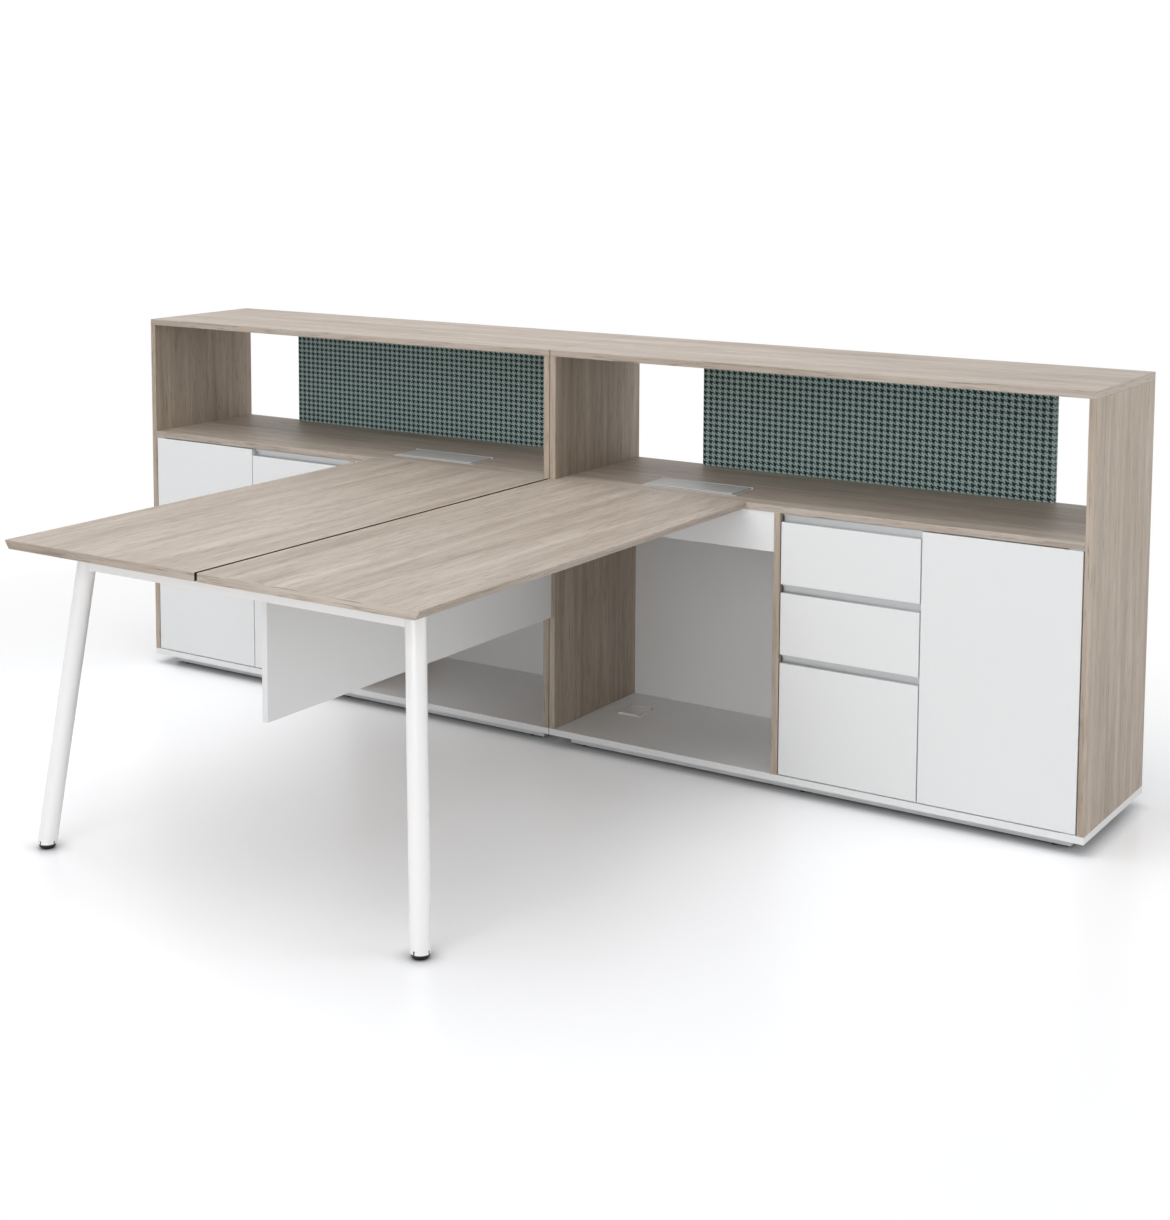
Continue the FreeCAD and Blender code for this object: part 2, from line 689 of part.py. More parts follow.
# Cable port: a frame with a rounded rim in the kneehole floor
def cable_port_frame(side):
    middle = mirrored(side, "PortPlace")
    wall_y = (f"{PORT_SPAN[0]} + PortLip", f"{PORT_SPAN[1]} - PortLip")
    rim_top = f"{BOTTOM_TOP} + PortWall"
    rim_z = (BOTTOM_TOP, rim_top)
    rim = rounded_plate(f"{side}_port_rim", about(middle, "PortWidth"), PORT_SPAN, rim_z, "PortCorner")
    collar_x = about(middle, "PortWidth - 2 * PortLip")
    collar = block(f"{side}_port_collar", collar_x, wall_y, ("PlinthHeight", rim_top))
    space = block(
        f"{side}_port_space",
        about(middle, "PortWidth - 2 * PortLip - 2 * PortWall"),
        (f"{wall_y[0]} + PortWall", f"{wall_y[1]} - PortWall"),
        ("PlinthHeight - Overrun", f"{rim_top} + Overrun"),
    )
    return cut(f"{side}_port_frame", fuse(f"{side}_port_tube", [rim, collar]), [space])


def rounded_plate(name, x, y, z, corner):
    """A plate whose upright edges are rounded."""
    body = doc.addObject("PartDesign::Body", name)
    blank = body.newObject("PartDesign::AdditiveBox", f"{name}_blank")
    bind(blank, Length=f"({x[1]}) - ({x[0]})", Width=f"({y[1]}) - ({y[0]})", Height=f"({z[1]}) - ({z[0]})")
    doc.recompute()
    upright = []
    for number, edge in enumerate(blank.Shape.Edges, start=1):
        first, last = edge.Vertexes
        if first.Point.z != last.Point.z:
            upright.append(f"Edge{number}")
    rounding = body.newObject("PartDesign::Fillet", f"{name}_rounding")
    rounding.Base = (blank, upright)
    bind(rounding, Radius=corner)
    place(body, x[0], y[0], z[0])
    return body


def lid_axis(span, rim_top):
    """Place along Y and Z of the hinge of a lid that lies on a rim."""
    return f"{span[1]} - HingeEarDepth / 2", f"{rim_top} + LidClearance + HingeBarrelDiameter / 2"


# Flip lid: a plate with a hinge barrel along its back edge and a pin out of each end of the barrel
def make_lid(name, middle, width, span, rim_top):
    axis_y, axis_z = lid_axis(span, rim_top)
    low = f"{rim_top} + LidClearance"
    leaf_x = about(middle, f"{width} - 2 * LidMargin")
    leaf = board(f"{name}_leaf", leaf_x, (span[0], axis_y), (low, f"{low} + LidThickness"))
    length = f"{width} - 2 * LidMargin"
    barrel = rod(f"{name}_barrel", "HingeBarrelDiameter", length, leaf_x[0], axis_y, axis_z, direction="X")
    pin_length = f"{length} + 2 * HingePinLength"
    pin_start = f"{leaf_x[0]} - HingePinLength"
    pin = rod(f"{name}_pin", "HingePinDiameter", pin_length, pin_start, axis_y, axis_z, direction="X")
    node(fuse(name, [leaf, barrel, pin]))


def hinge_ears(name, middle, width, span, rim_top):
    """Two ears that stand on the rim and hold the pins of a lid."""
    axis_y, axis_z = lid_axis(span, rim_top)
    ends = about(middle, f"{width} - 2 * LidMargin")
    ears = {
        "low": (f"{ends[0]} - HingeEndPlay - HingeEar", f"{ends[0]} - HingeEndPlay"),
        "high": (f"{ends[1]} + HingeEndPlay", f"{ends[1]} + HingeEndPlay + HingeEar"),
    }
    made = []
    for end, x in ears.items():
        top = f"{axis_z} + HingeEarDepth / 2"
        ear = block(f"{name}_{end}_ear", x, about(axis_y, "HingeEarDepth"), (rim_top, top))
        eye_start = f"{x[0]} - Overrun"
        eye_length = "HingeEar + 2 * Overrun"
        eye_diameter = "HingePinDiameter + 2 * HingePlay"
        eye = rod(f"{name}_{end}_eye", eye_diameter, eye_length, eye_start, axis_y, axis_z, direction="X")
        made.append(cut(f"{name}_{end}_hinge", ear, [eye]))
    return made


# Desk top: square on three sides, with a reverse bevel under its outer edge
def make_desk_top(side):
    name = f"{side}_desk_top"
    body = doc.addObject("PartDesign::Body", name)
    bevel = body.newObject("PartDesign::AdditiveWedge", f"{name}_bevel")
    bevel.Placement.Rotation = FreeCAD.Rotation(FreeCAD.Vector(1, 0, 0), 90)
    bind(
        bevel,
        Xmin="0" if side == "right" else "BevelInset",
        Xmax="DeskTopWidth - BevelInset" if side == "right" else "DeskTopWidth",
        Ymin="0",
        Ymax="DeskTopThickness - BevelLand",
        Zmin="0",
        Zmax="DeskLength",
        X2min="0",
        X2max="DeskTopWidth",
        Z2min="0",
        Z2max="DeskLength",
    )
    land = body.newObject("PartDesign::AdditiveBox", f"{name}_land")
    bind(land, Length="DeskTopWidth", Width="DeskLength", Height="BevelLand")
    place(land, "0", "-DeskLength", "DeskTopThickness - BevelLand")
    doc.recompute()
    faces = land.Shape.Faces
    upper = max(range(len(faces)), key=lambda number: faces[number].CenterOfMass.z)
    ease = body.newObject("PartDesign::Chamfer", f"{name}_ease")
    ease.Base = (land, [f"Face{upper + 1}"])
    bind(ease, Size="EdgeEase")
    place(body, across(side, "DeskGap / 2", DESK_EDGE)[0], FRONT, DESK_UNDER)
    node(body)


# Leg: a splayed round tube, cut level at both ends, with slots at the foot for the lugs of its glide
def make_leg(side):
    tube = level_bar(f"{side}_leg_tube", side, "LegDiameter", "GlideHeight", DESK_UNDER)
    bore = leg_bar(f"{side}_leg_bore", side, "LegDiameter - 2 * LegWall", "GlideHeight - LegDiameter")
    length = "LegDiameter + Overrun"
    slots = lug_cross(f"{side}_leg_slot", side, length, "LugWidth", "GlideHeight - Overrun", "LugHeight")
    node(cut(f"{side}_leg", tube, [bore, *slots]), f"{side}_leg")


def lug_cross(name, side, length, width, low, height):
    """Two level bars that cross on the leg's axis at its foot."""
    x, y = leg_centre(side, "GlideHeight")
    level = (low, f"GlideHeight + {height}")
    return [
        block(f"{name}_across", about(x, length), about(y, width), level),
        block(f"{name}_along", about(x, width), about(y, length), level),
    ]


# Glide: a bowl-shaped foot with a plug up the leg and lugs in the leg's slots
def foot_glide(side):
    x, y = leg_centre(side, "GlideHeight")
    plug_diameter = "LegDiameter - 2 * LegWall - 2 * PlugPlay"
    plug = level_bar(f"{side}_glide_plug", side, plug_diameter, "GlideHeight", "GlideHeight + PlugHeight")
    length = "LegDiameter - 2 * LugRelief"
    width = "LugWidth - 2 * PlugPlay"
    lugs = lug_cross(f"{side}_lug", side, length, width, "GlideHeight", "LugHeight - PlugPlay")
    return fuse(f"{side}_glide", [*glide_cones(side, x, y), plug, *lugs])


def tube_loops(x, y):
    """Outer and inner outlines of a rectangular tube."""
    inner_x = (f"{x[0]} + TubeWall", f"{x[1]} - TubeWall")
    inner_y = (f"{y[0]} + TubeWall", f"{y[1]} - TubeWall")
    return [rectangle(x, y), rectangle(inner_x, inner_y)]


# Front beam: a rectangular tube between the legs, its ends shaped to them
def make_front_beam():
    x, y = leg_centre("right", BEAM_MIDDLE)
    loops = tube_loops(about("0", "BeamWidth"), about("0", "BeamHeight"))
    tube = extrusion("beam_tube", "YZ_Plane", loops, f"2 * ({x})")
    place(tube, f"-({x})", y, BEAM_MIDDLE)
    low = f"{DESK_UNDER} - BeamHeight - LegDiameter"
    legs = [leg_bar(f"{side}_beam_end", side, "LegDiameter + 2 * WeldGap", low) for side in SIDES]
    node(cut("front_beam", tube, legs), "front_beam")


# Long rail under a desk top, from the front beam to its bracket on the cabinet
def desk_rail(side):
    start = f"{leg_centre('right', BEAM_MIDDLE)[1]} + BeamWidth / 2"
    end = f"{FRONT} + FasciaSetback - BracketThickness"
    loops = tube_loops(about("0", "RailWidth"), about("0", "RailHeight"))
    rail = extrusion(f"{side}_desk_rail", "XZ_Plane", loops, f"({end}) - ({start})", towards=-1)
    place(rail, mirrored(side, "RailPlace"), start, f"{DESK_UNDER} - RailHeight / 2")
    return rail


def rail_bracket(side):
    """An angle on the fascia: one leg behind the rail's end and one under the rail."""
    profile = [
        ("-BracketReach", "-BracketThickness"),
        ("0", "-BracketThickness"),
        ("0", "RailHeight"),
        ("-BracketThickness", "RailHeight"),
        ("-BracketThickness", "0"),
        ("-BracketReach", "0"),
    ]
    bracket = extrusion(f"{side}_rail_bracket", "YZ_Plane", [profile], "RailWidth")
    x = about(mirrored(side, "RailPlace"), "RailWidth")[0]
    place(bracket, x, f"{FRONT} + FasciaSetback", f"{DESK_UNDER} - RailHeight")
    return bracket


# Modesty panel: a board that hangs under the gap between the desk tops
def modesty_span():
    return f"{DESK_FRONT} + ModestySetback", FRONT


def make_modesty_panel():
    top = f"{DESK_UNDER} - ModestyDrop"
    height = (f"{top} - ModestyHeight", top)
    node(board("modesty_panel", about("0", "ModestyThickness"), modesty_span(), height))


def modesty_brackets(side):
    """Angles between the panel's face and the underside of a desk top."""
    sign = 1 if side == "right" else -1
    profile = [
        ("0", "-ModestyBracketReach"),
        (f"{sign} * BracketThickness", "-ModestyBracketReach"),
        (f"{sign} * BracketThickness", "-BracketThickness"),
        (f"{sign} * ModestyBracketReach", "-BracketThickness"),
        (f"{sign} * ModestyBracketReach", "0"),
        ("0", "0"),
    ]
    low, high = modesty_span()
    brackets = []
    for number, share in enumerate(MODESTY_BRACKET_SHARES):
        name = f"{side}_modesty_bracket_{number}"
        bracket = extrusion(name, "XZ_Plane", [profile], "ModestyBracketLength", towards=-1)
        y = f"{low} + (({high}) - ({low})) * {share}"
        place(bracket, mirrored(side, "ModestyThickness / 2"), y, DESK_UNDER)
        brackets.append(bracket)
    return brackets


def both(maker):
    """The pieces that a maker gives for the left and for the right, in one list."""
    pieces = []
    for side in SIDES:
        made = maker(side)
        pieces.extend(made if isinstance(made, list) else [made])
    return pieces


for side in SIDES:
    make_carcass(side)
    make_door(side)
    for tier in TIERS:
        make_drawer(side, tier)
    make_desk_top(side)
    make_leg(side)

POWER_RIM = "DeskHeight + PowerWall"
PORT_RIM = f"{BOTTOM_TOP} + PortWall"
hinges = []
for side in SIDES:
    power_lid = (POWER_MIDDLES[side], "PowerLength", POWER_SPAN, POWER_RIM)
    port_flap = (mirrored(side, "PortPlace"), "PortWidth", PORT_SPAN, PORT_RIM)
    make_lid(f"{side}_power_lid", *power_lid)
    make_lid(f"{side}_cable_port_flap", *port_flap)
    hinges.extend(hinge_ears(f"{side}_power", *power_lid))
    hinges.extend(hinge_ears(f"{side}_port", *port_flap))

group("lid_hinge_brackets", hinges)
group("plinth_boards", both(plinth_ring))
group("kneehole_fascias", both(fascia))
group("partitions", both(partition))
group("drawer_runners", [channel for tier in TIERS for channel in both(lambda side: runner_pair(side, tier))])
group("door_fittings", both(door_fittings))
group("shelves", both(shelf))
group("shelf_supports", both(shelf_supports))
group("power_boxes", both(power_box))
group("socket_strips", both(socket_strip))
group("cable_port_frames", both(cable_port_frame))
group("foot_glides", both(foot_glide) + both(plinth_pads))
group("desk_rails", both(desk_rail))
group("frame_brackets", both(rail_bracket) + both(modesty_brackets))
make_front_beam()
make_modesty_panel()

doc.recompute()
faults = [item.Label for item in doc.Objects if {"Invalid", "Error"} & set(item.State)]
faults += [item.Label for item in nodes if item.Shape.isNull() or not item.Shape.isValid()]
if faults:
    raise RuntimeError(f"These did not build: {faults}")

os.makedirs("parts", exist_ok=True)
for item in nodes:
    item.Shape.exportStep(f"parts/{item.Label}.step")
solids = sum(len(item.Shape.Solids) for item in nodes)
print(f"{len(nodes)} sub-parts, {solids} solids")
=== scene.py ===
# %% [markdown]
# # A two-person desk cluster
# Two storage cabinets stand side by side, and a pair of desk tops runs forward from their middle on
# one splayed pair of legs. The solids come from the CAD frame and stay as they are. This lesson gives
# each board, tube, lid and screen its real finish, adds the small fasteners and holes that the solids
# leave out, and then sets up the floor, the light and the camera.

import json
import math

import bpy
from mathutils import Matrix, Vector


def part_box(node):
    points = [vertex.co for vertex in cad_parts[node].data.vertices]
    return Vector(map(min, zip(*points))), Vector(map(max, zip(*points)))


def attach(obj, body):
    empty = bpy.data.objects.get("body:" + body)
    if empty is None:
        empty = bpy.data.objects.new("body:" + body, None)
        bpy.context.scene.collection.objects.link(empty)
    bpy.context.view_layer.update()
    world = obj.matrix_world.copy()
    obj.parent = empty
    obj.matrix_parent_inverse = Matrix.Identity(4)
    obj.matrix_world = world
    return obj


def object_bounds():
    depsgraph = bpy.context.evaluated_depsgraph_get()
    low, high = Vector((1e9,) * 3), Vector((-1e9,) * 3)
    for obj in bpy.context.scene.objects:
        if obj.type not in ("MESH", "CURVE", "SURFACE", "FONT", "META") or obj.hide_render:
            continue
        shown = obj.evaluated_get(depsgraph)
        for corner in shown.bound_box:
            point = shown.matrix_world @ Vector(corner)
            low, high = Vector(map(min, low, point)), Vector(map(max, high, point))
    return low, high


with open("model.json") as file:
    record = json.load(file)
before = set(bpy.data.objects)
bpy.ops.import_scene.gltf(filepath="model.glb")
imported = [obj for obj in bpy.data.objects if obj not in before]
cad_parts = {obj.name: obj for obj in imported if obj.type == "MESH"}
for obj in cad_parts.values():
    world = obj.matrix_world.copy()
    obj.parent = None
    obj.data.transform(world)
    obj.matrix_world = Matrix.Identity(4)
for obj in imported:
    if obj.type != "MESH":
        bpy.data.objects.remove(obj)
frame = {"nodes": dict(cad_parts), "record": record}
cad_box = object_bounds()
NODES = frame["nodes"]
MM = 0.001

# %% [markdown]
# ## Small helpers
# Colours are picked as sRGB hex values, as any paint program shows them, but shaders calculate in
# linear light, so one function converts them. A second one adds a node with its settings and its
# links in one line, for shader trees and geometry trees alike. A third starts a material. The others
# stand for the few nodes that most materials need: stretched noise, a change of range, a blend of two
# colours, an uneven gloss and a fine relief.

# %% Helpers
def linear(hex_colour):
    """An sRGB hex colour as linear red, green, blue and alpha."""
    parts = [int(hex_colour[start:start + 2], 16) / 255 for start in (0, 2, 4)]
    return [p / 12.92 if p <= 0.04045 else ((p + 0.055) / 1.055) ** 2.4 for p in parts] + [1.0]


def add(tree, kind, inputs=None, **settings):
    """A new node. An input is linked where its value is another node's socket, and is set otherwise."""
    node = tree.nodes.new(kind)
    for name, value in settings.items():
        setattr(node, name, value)
    for name, value in (inputs or {}).items():
        if isinstance(value, bpy.types.NodeSocket):
            tree.links.new(value, node.inputs[name])
        else:
            node.inputs[name].default_value = value
    return node


def start_material(name, colour, roughness, metallic=0.0):
    """A material with one Principled shader, and the Object coordinates that its pattern reads."""
    material = bpy.data.materials.new(name)
    material.use_nodes = True
    tree = material.node_tree
    shader = tree.nodes["Principled BSDF"]
    shader.inputs["Base Color"].default_value = linear(colour)
    shader.inputs["Roughness"].default_value = roughness
    shader.inputs["Metallic"].default_value = metallic
    place = add(tree, "ShaderNodeTexCoord").outputs["Object"]
    return material, tree, shader, place


def streaks(tree, place, sizes_mm, detail, fineness=0.5, waver=0.0):
    """Noise whose features measure about sizes_mm along X, Y and Z."""
    scale = [1 / (size * MM) for size in sizes_mm]
    moved = add(tree, "ShaderNodeMapping", {"Vector": place, "Scale": scale}).outputs["Vector"]
    given = {"Vector": moved, "Scale": 1.0, "Detail": detail, "Roughness": fineness, "Distortion": waver}
    return add(tree, "ShaderNodeTexNoise", given).outputs["Fac"]


def remap(tree, value, low, high, to_low, to_high):
    """A value brought from one range to another and held inside it."""
    given = {"Value": value, "From Min": low, "From Max": high, "To Min": to_low, "To Max": to_high}
    return add(tree, "ShaderNodeMapRange", given).outputs["Result"]


def blend_colours(tree, share, first, second):
    """One colour or the other, by a share from 0 to 1."""
    mix = add(tree, "ShaderNodeMix", {0: share, 6: first, 7: second}, data_type="RGBA")
    return mix.outputs[2]


def uneven_gloss(tree, shader, noise, smooth, rough):
    """Roughness that follows a noise, which seldom leaves the range given here."""
    tree.links.new(remap(tree, noise, 0.3, 0.7, smooth, rough), shader.inputs["Roughness"])


def emboss(tree, shader, height, depth_mm, strength):
    """Fine relief on a surface."""
    given = {"Height": height, "Distance": depth_mm * MM, "Strength": strength}
    bump = add(tree, "ShaderNodeBump", given)
    tree.links.new(bump.outputs["Normal"], shader.inputs["Normal"])


print("helpers ready; mid grey 808080 is", round(linear("808080")[0], 3), "in linear light")

# %% [markdown]
# ## Wood-grain melamine
# The brown boards are chipboard faced with printed melamine: a pale greige ash. Such a print has broad
# bands of tone, fine straight streaks along the board and short dark pores. An image would do, but
# noise stretched along the grain needs no file and fits every board. The grain stands upright on the
# end panels, runs along the cabinets on the counters and top boards, and runs lengthwise on the desk
# tops. The ends of a board are covered with edge tape, whose grain runs along the edge, so a face that
# looks along the grain takes its streaks along another axis. The two desk edges that face each other
# are painted dark brown, as painted shade that makes the narrow gap between them read as a dark line.
# The streaks come in many widths, each half as wide as the one before, as in real wood. In the
# photograph the upright panels look a shade warmer than the flat boards, so they have their own pair
# of tones, darker and warmer: painted shade on what is the same board.

# %% Wood-grain melamine
FLAT_TONES = ("9F9183", "CBBFB4")
# painted shade: darker, warmer tones of the same board for the upright panels
UPRIGHT_SHADE_TONES = ("9C8C7B", "C9BBAC")
PORE_TONE = "756656"
# painted shade: a dark brown on the desk edges at the gap, for the shade in the gap
GAP_SHADE_TONE = "35200F"
GAP_SHADE_REACH_MM = 12
BAND_MM, BAND_LENGTH_MM, BAND_WIDTHS = 70, 1000, 2.0
STREAK_MM, STREAK_LENGTH_MM, STREAK_WIDTHS = 20, 480, 4.0
PORE_MM, PORE_LENGTH_MM, PORE_WIDTHS = 3, 70, 1.0
FINENESS, WAVER = 0.7, 0.6
TONE_RANGE = (0.68, 1.32)
PORE_RANGE, PORE_SHARE = (0.55, 0.75), 0.7
PORE_RELIEF_MM, PORE_RELIEF = 0.15, 0.12
WOOD_ROUGHNESS = 0.5
AXES = "XYZ"


def along_axis(axis, across_mm, along_mm):
    """Feature sizes that are long on one axis and short on the other two."""
    return [along_mm if name == axis else across_mm for name in AXES]


def looks_along(tree, axis):
    """1 on faces that look along an axis, 0 elsewhere."""
    normal = add(tree, "ShaderNodeNewGeometry").outputs["Normal"]
    part = add(tree, "ShaderNodeSeparateXYZ", {"Vector": normal}).outputs[axis]
    size = add(tree, "ShaderNodeMath", {0: part}, operation="ABSOLUTE").outputs[0]
    return add(tree, "ShaderNodeMath", {0: size, 1: 0.5}, operation="GREATER_THAN").outputs[0]


def grain(tree, place, on_tape, axis, tape_axis, across_mm, along_mm, widths):
    """Streaks along one axis on a board's faces and along another on its taped ends."""
    face = streaks(tree, place, along_axis(axis, across_mm, along_mm), widths, FINENESS, WAVER)
    tape = streaks(tree, place, along_axis(tape_axis, across_mm, along_mm), widths, FINENESS, WAVER)
    return add(tree, "ShaderNodeMix", {0: on_tape, 2: face, 3: tape}, data_type="FLOAT").outputs[0]


def near_the_gap(tree, place):
    """1 on the edges that face the gap between the desk tops, 0 elsewhere."""
    across = add(tree, "ShaderNodeSeparateXYZ", {"Vector": place}).outputs["X"]
    from_middle = add(tree, "ShaderNodeMath", {0: across}, operation="ABSOLUTE").outputs[0]
    limit = {0: from_middle, 1: GAP_SHADE_REACH_MM * MM}
    near = add(tree, "ShaderNodeMath", limit, operation="LESS_THAN").outputs[0]
    both = {0: near, 1: looks_along(tree, "X")}
    return add(tree, "ShaderNodeMath", both, operation="MULTIPLY").outputs[0]


def wood_melamine(name, tones, axis, tape_axis, painted_gap_shade=False):
    """Printed board with its grain along one axis, and along another on the tape of its ends."""
    material, tree, shader, place = start_material(name, tones[1], WOOD_ROUGHNESS)
    ends = looks_along(tree, axis)
    bands = grain(tree, place, ends, axis, tape_axis, BAND_MM, BAND_LENGTH_MM, BAND_WIDTHS)
    lines = grain(tree, place, ends, axis, tape_axis, STREAK_MM, STREAK_LENGTH_MM, STREAK_WIDTHS)
    pores = grain(tree, place, ends, axis, tape_axis, PORE_MM, PORE_LENGTH_MM, PORE_WIDTHS)
    tone = add(tree, "ShaderNodeMath", {0: bands, 1: lines}, operation="ADD").outputs[0]
    ground = blend_colours(tree, remap(tree, tone, *TONE_RANGE, 0, 1), *map(linear, tones))
    dark = remap(tree, pores, *PORE_RANGE, 0, PORE_SHARE)
    colour = blend_colours(tree, dark, ground, linear(PORE_TONE))
    if painted_gap_shade:
        # painted shade: the edges at the gap between the desk tops turn dark brown
        colour = blend_colours(tree, near_the_gap(tree, place), colour, linear(GAP_SHADE_TONE))
    tree.links.new(colour, shader.inputs["Base Color"])
    emboss(tree, shader, pores, PORE_RELIEF_MM, PORE_RELIEF)
    return material


# painted shade: the upright panels take the darker, warmer tones
WOOD_UPRIGHT_SHADED = wood_melamine("ash_melamine_upright_painted_shade", UPRIGHT_SHADE_TONES, "Z", "Y")
WOOD_CROSSWISE = wood_melamine("ash_melamine_crosswise", FLAT_TONES, "X", "Y")
WOOD_LENGTHWISE = wood_melamine("ash_melamine_lengthwise", FLAT_TONES, "Y", "X", painted_gap_shade=True)
print("wood streaks", STREAK_MM, "mm wide and", STREAK_LENGTH_MM, "mm long")

# %% [markdown]
# ## White and grey melamine
# Doors, drawer fronts, backs and floors are the same board with a plain white face, pressed with a
# fine pearl texture that only softens the highlights. The pearl is really about 0.3 mm; it is drawn
# at 1.5 mm so that it still shows in a picture of the whole desk. The drawer boxes are light grey.

# %% White and grey melamine
PEARL_MM = 1.5
PEARL_RELIEF_MM, PEARL_RELIEF = 0.05, 0.1


def plain_melamine(name, colour):
    """Board of one colour with a pressed pearl texture."""
    material, tree, shader, place = start_material(name, colour, 0.42)
    pearl = streaks(tree, place, (PEARL_MM, PEARL_MM, PEARL_MM), 2.0)
    uneven_gloss(tree, shader, pearl, 0.38, 0.48)
    emboss(tree, shader, pearl, PEARL_RELIEF_MM, PEARL_RELIEF)
    return material


WHITE_BOARD = plain_melamine("white_pearl_melamine", "F0F1F2")
GREY_BOARD = plain_melamine("grey_pearl_melamine", "CBCBCA")
print("plain boards:", WHITE_BOARD.name, "and", GREY_BOARD.name)

# %% [markdown]
# ## Powder coat, aluminium and zinc
# The legs and the frame are steel tube with white powder coat, which melts into a slightly wavy and
# glossy skin. The finger pulls are satin anodised aluminium, drawn through a die along their length, so
# their gloss is streaked along X. The power boxes and their lids are lacquered silver, which hides most
# of the reflections. The runners and fittings are zinc plated, with a faint cloudy spangle.

# %% Metals
SKIN_MM = 2.5
DIE_LINE_LENGTH_MM = 160
DIE_LINE_MM, LACQUERED_LINE_MM = 0.8, 1.5
SPANGLE_MM = 9


def powder_coat(name, colour):
    """Paint that melted on the steel."""
    material, tree, shader, place = start_material(name, colour, 0.36)
    shader.inputs["Coat Weight"].default_value = 1.0
    shader.inputs["Coat Roughness"].default_value = 0.2
    skin = streaks(tree, place, (SKIN_MM, SKIN_MM, SKIN_MM), 1.0)
    emboss(tree, shader, skin, 0.08, 0.12)
    return material


def satin_aluminium(name, colour):
    """Bare metal with fine lines along X."""
    material, tree, shader, place = start_material(name, colour, 0.36, metallic=1.0)
    lines = streaks(tree, place, (DIE_LINE_LENGTH_MM, DIE_LINE_MM, DIE_LINE_MM), 2.0)
    uneven_gloss(tree, shader, lines, 0.28, 0.46)
    emboss(tree, shader, lines, 0.02, 0.15)
    return material


def lacquered_aluminium(name, colour):
    """Metal under a silver lacquer, partly a paint and partly a metal to the light."""
    material, tree, shader, place = start_material(name, colour, 0.5, metallic=0.25)
    lines = streaks(tree, place, (DIE_LINE_LENGTH_MM, LACQUERED_LINE_MM, LACQUERED_LINE_MM), 2.0)
    uneven_gloss(tree, shader, lines, 0.44, 0.56)
    return material


def zinc_plate(name, colour):
    """Plated steel with cloudy patches."""
    material, tree, shader, place = start_material(name, colour, 0.32, metallic=1.0)
    spangle = streaks(tree, place, (SPANGLE_MM, SPANGLE_MM, SPANGLE_MM), 1.0)
    uneven_gloss(tree, shader, spangle, 0.26, 0.42)
    return material


WHITE_STEEL = powder_coat("white_powder_coated_steel", "FBFBFB")
ALUMINIUM = satin_aluminium("satin_anodised_aluminium", "BCBEBF")
LID_ALUMINIUM = lacquered_aluminium("silver_lacquered_aluminium", "C3C4C4")
ZINC = zinc_plate("zinc_plated_steel", "B6B9BC")
print("metals:", WHITE_STEEL.name, ALUMINIUM.name, LID_ALUMINIUM.name, ZINC.name)

# %% [markdown]
# ## Moulded plastics
# The glide feet and the sockets are black nylon with the fine spark-eroded grain of the mould. The
# cable ports are white ABS, which is smoother.

# %% Plastics
MOULD_GRAIN_MM = 1.2


def moulded_plastic(name, colour, roughness):
    """Plastic with the grain of its mould."""
    material, tree, shader, place = start_material(name, colour, roughness)
    texture = streaks(tree, place, (MOULD_GRAIN_MM, MOULD_GRAIN_MM, MOULD_GRAIN_MM), 1.0)
    emboss(tree, shader, texture, 0.05, 0.2)
    return material


BLACK_NYLON = moulded_plastic("black_moulded_nylon", "08080A", 0.45)
PALE_ABS = moulded_plastic("white_moulded_abs", "F4F4F4", 0.2)
print("plastics:", BLACK_NYLON.name, PALE_ABS.name)

# %% [markdown]
# ## Houndstooth cloth
# The screens are covered with a woven houndstooth, an old check that comes out of the loom by itself:
# four dark threads and four pale ones alternate both ways, and each thread passes over two and under
# two. So the pattern needs no picture: number the threads, ask which of the two lies on top where they
# cross, and take its colour. Eight threads make one repeat. The weft is beaten closer than the warp is
# set, so the repeat is a little wider than it is high. At the ends of a screen the cloth wraps round, so
# the warp is counted along X and Y together.

# %% Houndstooth cloth
REPEAT_ACROSS_MM, REPEAT_UP_MM = 18.5, 15.4
THREADS = 8
DARK_YARN, PALE_YARN, FUZZ_TONE = "133130", "B6CDCC", "4C6A67"
FUZZ_MM, FUZZ_SHARE = 3, 0.25


def houndstooth(name):
    """Cloth whose colour at each crossing is that of the thread on top."""
    material, tree, shader, place = start_material(name, DARK_YARN, 0.95)
    shader.inputs["Sheen Weight"].default_value = 0.15
    axes = add(tree, "ShaderNodeSeparateXYZ", {"Vector": place}).outputs

    def math_node(operation, first, second):
        return add(tree, "ShaderNodeMath", {0: first, 1: second}, operation=operation).outputs[0]

    def number_of(distance, repeat_mm):
        return math_node("FLOOR", math_node("DIVIDE", distance, repeat_mm * MM / THREADS), 0.0)

    def is_pale(number):
        return math_node("GREATER_THAN", math_node("FLOORED_MODULO", number, THREADS), THREADS / 2 - 0.5)

    round_the_end = math_node("ADD", axes["X"], axes["Y"])
    warp, weft = number_of(round_the_end, REPEAT_ACROSS_MM), number_of(axes["Z"], REPEAT_UP_MM)
    step = math_node("FLOORED_MODULO", math_node("ADD", warp, weft), THREADS / 2)
    warp_on_top = math_node("LESS_THAN", step, THREADS / 4 - 0.5)
    crossing = {0: warp_on_top, 2: is_pale(weft), 3: is_pale(warp)}
    on_top = add(tree, "ShaderNodeMix", crossing, data_type="FLOAT")
    fuzz = streaks(tree, place, (FUZZ_MM, FUZZ_MM, FUZZ_MM), 3.0)
    yarn = blend_colours(tree, on_top.outputs[0], linear(DARK_YARN), linear(PALE_YARN))
    dulled = blend_colours(tree, remap(tree, fuzz, 0.4, 0.75, 0, FUZZ_SHARE), yarn, linear(FUZZ_TONE))
    tree.links.new(dulled, shader.inputs["Base Color"])
    emboss(tree, shader, fuzz, 0.3, 0.4)
    return material


